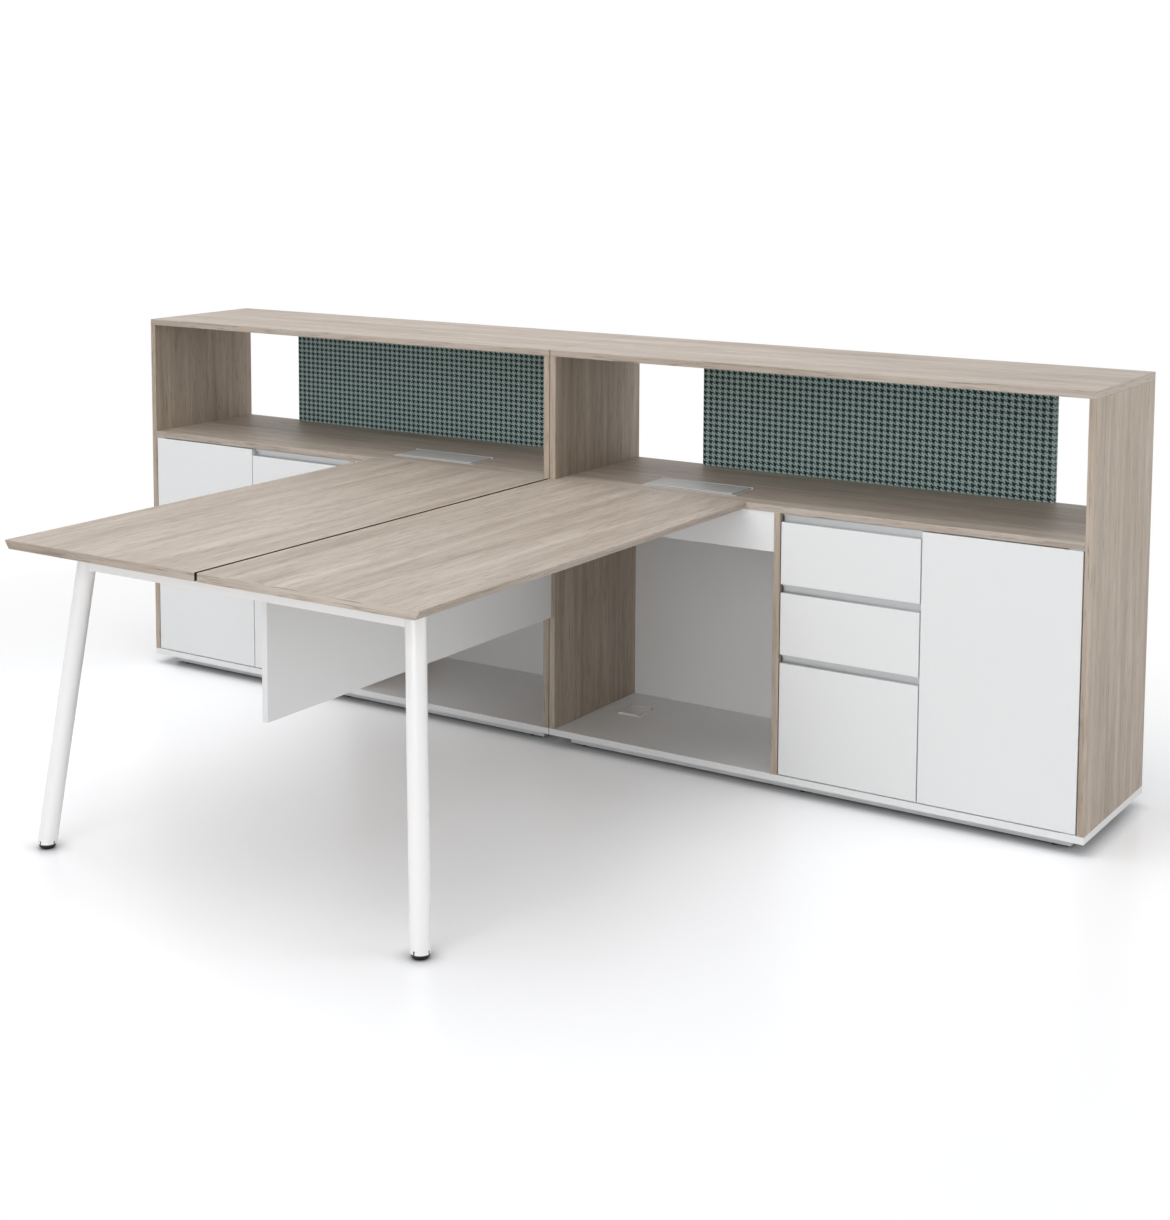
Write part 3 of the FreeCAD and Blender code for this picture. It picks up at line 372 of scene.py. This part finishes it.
SCREEN_CLOTH = houndstooth("woven_houndstooth")
print("houndstooth threads", REPEAT_ACROSS_MM / THREADS, "and", REPEAT_UP_MM / THREADS, "mm apart")

# %% [markdown]
# ## Finishes on the boards and tubes
# Every CAD node keeps its shape and takes its finish through its own material slots. The record says
# which slot each node has, so only the grain direction of the wood has to be chosen by the board.

# %% Assign the finishes
BY_SLOT = {
    "white_melamine": WHITE_BOARD,
    "grey_melamine": GREY_BOARD,
    "white_powder_coat": WHITE_STEEL,
    "aluminium": ALUMINIUM,
    "zinc_steel": ZINC,
    "black_plastic": BLACK_NYLON,
    "white_plastic": PALE_ABS,
    "houndstooth_fabric": SCREEN_CLOTH,
}


def finish_of(name, slot):
    """The finish of a node, by its slot in the record and by how the board lies."""
    if name.endswith(("power_lid", "power_boxes", "hinge_brackets")):
        return LID_ALUMINIUM
    if slot != "wood_melamine":
        return BY_SLOT[slot]
    if name.endswith("desk_top"):
        return WOOD_LENGTHWISE
    return WOOD_CROSSWISE if name.endswith(("counter", "top_board")) else WOOD_UPRIGHT_SHADED


for subpart in frame["record"]["subparts"]:
    board = NODES[subpart["node"]]
    for material_slot in board.material_slots:
        material_slot.material = finish_of(subpart["node"], subpart["material_slot"])
bare = [name for name, board in NODES.items() if not board.material_slots]
print("finished", len(NODES) - len(bare), "nodes; without a slot:", bare)

# %% [markdown]
# ## Screw heads and contacts
# Small round heads repeat all over such furniture: the screws that hold the backs and the brackets,
# and the contacts in the sockets. A geometry tree sets one low cone on each given place and turns it
# to face the given way. The tree realizes the copies, so that what leaves it is a plain mesh.

# %% Tree of round heads
HEAD_SIDES = 16
CROWN_SHARE = 0.82


def start_tree(name, inputs):
    """A geometry tree with its named inputs, and its input node."""
    tree = bpy.data.node_groups.new(name, "GeometryNodeTree")
    for label, kind in inputs.items():
        tree.interface.new_socket(name=label, in_out="INPUT", socket_type=kind)
    tree.interface.new_socket(name="Result", in_out="OUTPUT", socket_type="NodeSocketGeometry")
    return tree, add(tree, "NodeGroupInput").outputs


def end_tree(tree, copies, material):
    """Turn copies into a plain mesh of one material."""
    plain = add(tree, "GeometryNodeRealizeInstances", {"Geometry": copies}).outputs["Geometry"]
    painted = add(tree, "GeometryNodeSetMaterial", {"Geometry": plain, "Material": material})
    add(tree, "NodeGroupOutput", {"Result": painted.outputs["Geometry"]})


def round_heads_tree():
    """A low cone, narrower at its crown, on each place."""
    tree, given = start_tree("round_heads", {
        "Places": "NodeSocketGeometry",
        "Radius": "NodeSocketFloat",
        "Height": "NodeSocketFloat",
        "Facing": "NodeSocketVector",
        "Finish": "NodeSocketMaterial",
    })
    narrowed = {0: given["Radius"], 1: CROWN_SHARE}
    crown = add(tree, "ShaderNodeMath", narrowed, operation="MULTIPLY").outputs[0]
    head = add(tree, "GeometryNodeMeshCone", {
        "Vertices": HEAD_SIDES,
        "Radius Top": crown,
        "Radius Bottom": given["Radius"],
        "Depth": given["Height"],
    }).outputs["Mesh"]
    turn = add(tree, "FunctionNodeAlignRotationToVector", {"Vector": given["Facing"]}, axis="Z")
    copies = add(tree, "GeometryNodeInstanceOnPoints", {
        "Points": given["Places"],
        "Instance": head,
        "Rotation": turn.outputs["Rotation"],
    }).outputs["Instances"]
    end_tree(tree, copies, given["Finish"])
    return tree


ROUND_HEADS = round_heads_tree()
print("tree", ROUND_HEADS.name, "has", len(ROUND_HEADS.nodes), "nodes")

# %% [markdown]
# ## From a tree to a piece
# A modifier runs the tree on a mesh that holds only the places. The evaluated result is then copied
# into a plain mesh, which replaces the modifier, so that nothing is left to compute later.

# %% Bake a tree
def grow(name, tree, places, body, slot, **values):
    """A piece that a tree grows on places, in metres, riding on a body."""
    start = bpy.data.meshes.new(f"{name}_places")
    start.from_pydata(places, [], [])
    piece = bpy.data.objects.new(name, start)
    bpy.context.scene.collection.objects.link(piece)
    modifier = piece.modifiers.new("grow", "NODES")
    modifier.node_group = tree
    for item in tree.interface.items_tree:
        if item.in_out == "INPUT" and item.name in values:
            modifier[item.identifier] = values[item.name]
    graph = bpy.context.evaluated_depsgraph_get()
    result = bpy.data.meshes.new_from_object(piece.evaluated_get(graph))
    piece.modifiers.clear()
    piece.data = result
    result.name = name
    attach(piece, body)
    print(name, len(places), "places,", len(result.polygons), "faces")


# %% [markdown]
# ## Screws of the backs and brackets
# Each back panel is screwed to the edges of the boards around it, and the brackets under the desk tops
# are screwed up into them. Their places follow the boxes of the CAD nodes.

# %% Screws
SCREW_RADIUS = 4 * MM
SCREW_HEIGHT = 1.2 * MM
BACK_SCREWS_ALONG = 9
BACK_SCREW_INSET = 9 * MM


def spaced(low, high, count, inset):
    """Evenly spaced numbers between two limits, set in from both."""
    first, last = low + inset, high - inset
    return [first + (last - first) * number / (count - 1) for number in range(count)]


back_places = []
for side in ("left", "right"):
    low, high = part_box(f"{side}_back_panel")
    for x in spaced(low.x, high.x, BACK_SCREWS_ALONG, BACK_SCREW_INSET):
        for z in spaced(low.z, high.z, 2, BACK_SCREW_INSET):
            back_places.append((x, high.y - SCREW_HEIGHT / 4, z))
grow("back_panel_screws", ROUND_HEADS, back_places, "root", "zinc_steel",
     Radius=SCREW_RADIUS, Height=SCREW_HEIGHT, Facing=(0, 1, 0), Finish=ZINC)

BRACKET_PLATE = 3 * MM
RAIL_PLACE = 330 * MM
RAIL_SCREW_SPREAD = 11 * MM
RAIL_SCREWS_FORWARD = (18 * MM, 44 * MM)
PANEL_SCREW_PLACE = 33 * MM
PANEL_BRACKET_SHARES = (0.15, 0.8)
PANEL_SCREW_STEPS = (15 * MM, 55 * MM)
fascia_low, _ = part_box("kneehole_fascias")
rail_low, rail_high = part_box("desk_rails")
panel_low, panel_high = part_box("modesty_panel")
bracket_places = []
for side in (-1, 1):
    for spread in (-RAIL_SCREW_SPREAD, RAIL_SCREW_SPREAD):
        for forward in RAIL_SCREWS_FORWARD:
            x = side * RAIL_PLACE + spread
            bracket_places.append((x, fascia_low.y - forward, rail_low.z - BRACKET_PLATE))
for side in (-1, 1):
    for share in PANEL_BRACKET_SHARES:
        start_y = panel_low.y + (panel_high.y - panel_low.y) * share
        for step in PANEL_SCREW_STEPS:
            x = side * PANEL_SCREW_PLACE
            bracket_places.append((x, start_y + step, rail_high.z - BRACKET_PLATE))
grow("bracket_screws", ROUND_HEADS, bracket_places, "root", "zinc_steel",
     Radius=3.5 * MM, Height=1.6 * MM, Facing=(0, 0, -1), Finish=ZINC)

# %% [markdown]
# ## Socket contacts
# Each power box holds three round sockets. Two metal contacts stand 19 mm apart in the face of each.

# %% Socket contacts
SOCKET_PITCH = 58 * MM
CONTACT_SPREAD = 9.5 * MM
SOCKET_RECESS = 2 * MM
contact_places = []
strip_low, strip_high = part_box("socket_strips")
socket_y = (strip_low.y + strip_high.y) / 2
for side in ("left", "right"):
    low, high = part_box(f"{side}_power_lid")
    middle = (low.x + high.x) / 2
    for number in (-1, 0, 1):
        for spread in (-CONTACT_SPREAD, CONTACT_SPREAD):
            x = middle + number * SOCKET_PITCH + spread
            contact_places.append((x, socket_y, strip_high.z - SOCKET_RECESS))
grow("socket_contacts", ROUND_HEADS, contact_places, "root", "zinc_steel",
     Radius=2.4 * MM, Height=0.8 * MM, Facing=(0, 0, 1), Finish=ZINC)

# %% [markdown]
# ## Rows of shelf-pin holes
# Behind the doors the walls are drilled in rows, 32 mm apart, so that the shelf can be moved. Cutting
# them would need hundreds of holes in the boards. A thin black disc on the wall looks the same: its
# black is painted shade, which stands in for the shade inside each hole. A tree lays a whole row of
# them on each given start.

# %% Shelf-pin holes
HOLE_PITCH = 32 * MM
HOLES_IN_ROW = 17
HOLES_BELOW_SHELF = 8
HOLE_SIDES = 12
DISC_THICKNESS = 0.3 * MM
ROW_FROM_FRONT, ROW_FROM_BACK = 30 * MM, 40 * MM
ROW_SHIFT = 20 * MM


def hole_rows_tree():
    """A row of thin upright discs from each place upwards."""
    tree, given = start_tree("hole_rows", {
        "Places": "NodeSocketGeometry",
        "Pitch": "NodeSocketFloat",
        "Count": "NodeSocketInt",
        "Radius": "NodeSocketFloat",
        "Finish": "NodeSocketMaterial",
    })
    disc = add(tree, "GeometryNodeMeshCylinder", {
        "Vertices": HOLE_SIDES,
        "Radius": given["Radius"],
        "Depth": DISC_THICKNESS,
    }).outputs["Mesh"]
    turned = add(tree, "GeometryNodeTransform", {"Geometry": disc, "Rotation": (0, math.pi / 2, 0)})
    step = add(tree, "ShaderNodeCombineXYZ", {"Z": given["Pitch"]}).outputs["Vector"]
    line = add(tree, "GeometryNodeMeshLine", {"Count": given["Count"], "Offset": step}, mode="OFFSET")
    row = add(tree, "GeometryNodeInstanceOnPoints", {
        "Points": line.outputs["Mesh"],
        "Instance": turned.outputs["Geometry"],
    }).outputs["Instances"]
    rows = add(tree, "GeometryNodeInstanceOnPoints", {"Points": given["Places"], "Instance": row})
    end_tree(tree, rows.outputs["Instances"], given["Finish"])
    return tree


hole_places = []
shelf_low, shelf_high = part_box("shelves")
_, partition_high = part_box("partitions")
outer_low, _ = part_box("right_outer_end_panel")
row_start = shelf_low.z - HOLES_BELOW_SHELF * HOLE_PITCH + ROW_SHIFT
for side in (-1, 1):
    for wall in (partition_high.x, outer_low.x):
        for y in (shelf_low.y + ROW_FROM_FRONT, shelf_high.y - ROW_FROM_BACK):
            hole_places.append((side * wall, y, row_start))
# painted shade: black discs in place of the shade inside the holes
grow("shelf_pin_holes", hole_rows_tree(), hole_places, "root", "black_plastic",
     Pitch=HOLE_PITCH, Count=HOLES_IN_ROW, Radius=2.5 * MM, Finish=BLACK_NYLON)

# %% [markdown]
# ## Floor and background
# The photograph is a studio picture: white all round, with a soft pale shadow under the furniture. The
# floor is a large pale sheet with a little gloss. It keeps the shadow over the furniture's own outline,
# and from there outwards its colour passes over into plain white, so that no horizon shows. The world
# is white where the camera or a reflection sees it and dimmer as a light. Close under the plinths and
# feet, where little light gets in, an Ambient Occlusion node darkens the floor by how shut in it is.

# %% Floor and world
FLOOR_HALF = 40.0
FLOOR_AS_LIGHT, FLOOR_AS_SEEN = "F0F0F0", "FBFCFF"
FLOOR_ROUGHNESS = 0.3
CONTACT_REACH = 0.045
SHADOW_NEAR, SHADOW_FAR = 0.1, 1.4
FLOOR_LIFT = 0.175
AMBIENT = 0.24


def seen_directly(tree):
    """1 for rays from the camera, from gloss and through glass, 0 for light on the object."""
    rays = add(tree, "ShaderNodeLightPath").outputs
    pair = {0: rays["Is Camera Ray"], 1: rays["Is Glossy Ray"]}
    first = add(tree, "ShaderNodeMath", pair, operation="MAXIMUM").outputs[0]
    both = {0: first, 1: rays["Is Transmission Ray"]}
    return add(tree, "ShaderNodeMath", both, operation="MAXIMUM").outputs[0]


def distance_outside(tree, place):
    """How far a point of the floor lies outside the object's own outline."""
    half_sizes = [(high - low) / 2 for low, high in zip(*cad_box)]
    outwards = add(tree, "ShaderNodeVectorMath", {0: place}, operation="ABSOLUTE").outputs[0]
    from_edge = {0: outwards, 1: half_sizes}
    past = add(tree, "ShaderNodeVectorMath", from_edge, operation="SUBTRACT").outputs[0]
    outside = add(tree, "ShaderNodeVectorMath", {0: past, 1: (0, 0, 0)}, operation="MAXIMUM").outputs[0]
    return add(tree, "ShaderNodeVectorMath", {0: outside}, operation="LENGTH").outputs["Value"]


def floor_material():
    """Pale floor that keeps its shadow near the object and turns plain white further out."""
    material, tree, shader, place = start_material("pale_studio_floor", FLOOR_AS_SEEN, FLOOR_ROUGHNESS)
    far = remap(tree, distance_outside(tree, place), SHADOW_NEAR, SHADOW_FAR, 0, 1)
    seen = seen_directly(tree)
    tone = blend_colours(tree, seen, linear(FLOOR_AS_LIGHT), linear(FLOOR_AS_SEEN))
    open_air = add(tree, "ShaderNodeAmbientOcclusion", {"Color": tone, "Distance": CONTACT_REACH})
    tree.links.new(open_air.outputs["Color"], shader.inputs["Base Color"])
    seen_open = {0: seen, 1: open_air.outputs["AO"]}
    lift = add(tree, "ShaderNodeMath", seen_open, operation="MULTIPLY").outputs[0]
    share = add(tree, "ShaderNodeMath", {0: far, 1: seen}, operation="MULTIPLY").outputs[0]
    shader.inputs["Emission Color"].default_value = (1, 1, 1, 1)
    tree.links.new(remap(tree, lift, 0, 1, 0, FLOOR_LIFT), shader.inputs["Emission Strength"])
    white = add(tree, "ShaderNodeEmission", {"Color": (1, 1, 1, 1), "Strength": 1.0}).outputs[0]
    mixed = add(tree, "ShaderNodeMixShader", {0: share, 1: shader.outputs[0], 2: white}).outputs[0]
    tree.links.new(mixed, tree.nodes["Material Output"].inputs["Surface"])
    return material


def studio_floor():
    """A square floor far larger than the object."""
    mesh = bpy.data.meshes.new("studio_floor")
    signs = [(-1, -1), (1, -1), (1, 1), (-1, 1)]
    corners = [(x * FLOOR_HALF, y * FLOOR_HALF, 0) for x, y in signs]
    mesh.from_pydata(corners, [], [(0, 1, 2, 3)])
    mesh.materials.append(floor_material())
    floor = bpy.data.objects.new("studio_floor", mesh)
    bpy.context.scene.collection.objects.link(floor)


def studio_world():
    """White where it is seen, dimmer as a light."""
    world = bpy.data.worlds.new("studio_world")
    world.use_nodes = True
    tree = world.node_tree
    background = tree.nodes["Background"]
    background.inputs["Color"].default_value = (1, 1, 1, 1)
    tree.links.new(remap(tree, seen_directly(tree), 0, 1, AMBIENT, 1.0), background.inputs["Strength"])
    bpy.context.scene.world = world


studio_floor()
studio_world()
print("floor", 2 * FLOOR_HALF, "m wide; ambient light", AMBIENT)

# %% [markdown]
# ## Light
# Three large soft lamps do the rest: one overhead that gives the shadow under the desk and the shade in
# the kneeholes, one in front for the doors and drawers, and a weaker one on the right for the end panel.
# That one stands a little behind, so that the panels inside the cabinets stay in the shade.

# %% Lamps
def soft_lamp(name, place, target, size, watts):
    """A square lamp that faces a target."""
    data = bpy.data.lights.new(name, "AREA")
    data.size = size
    data.energy = watts
    lamp = bpy.data.objects.new(name, data)
    lamp.location = place
    aim = [t - p for t, p in zip(target, place)]
    across = math.hypot(aim[0], aim[1])
    lamp.rotation_euler = (math.atan2(across, -aim[2]), 0, math.atan2(-aim[0], aim[1]))
    bpy.context.scene.collection.objects.link(lamp)


OBJECT_MIDDLE = (0.0, 0.2, 0.5)
soft_lamp("overhead_softbox", place=(-0.6, -0.6, 4.2), target=OBJECT_MIDDLE, size=4.5, watts=121)
soft_lamp("front_softbox", place=(1.35, -5.8, 2.5), target=OBJECT_MIDDLE, size=4.0, watts=136)
soft_lamp("side_softbox", place=(5.5, 1.6, 2.2), target=OBJECT_MIDDLE, size=3.0, watts=70)
print("lamps", [lamp.name for lamp in bpy.data.lights])

# %% [markdown]
# ## Camera
# The camera's place, turn and lens were fitted to the corners of the cabinets and the desk tops in the
# photograph. Its uprights stay nearly parallel there, as with a shifted lens, so the camera looks down
# only a little and its frame is shifted down.

# %% Camera
data = bpy.data.cameras.new("photo_camera")
data.lens = 58.68
data.sensor_width = 36.0
data.shift_x = 0.0738
data.shift_y = -0.2352
camera = bpy.data.objects.new("photo_camera", data)
camera.location = (2.9379, -4.0318, 1.7161)
CAMERA_PITCH, CAMERA_YAW = 0.0998, 0.6054
camera.rotation_euler = (math.pi / 2 - CAMERA_PITCH, 0, CAMERA_YAW)
bpy.context.scene.collection.objects.link(camera)
bpy.context.scene.camera = camera
bpy.context.scene.view_settings.view_transform = "Standard"
print("camera at", [round(value, 3) for value in camera.location])
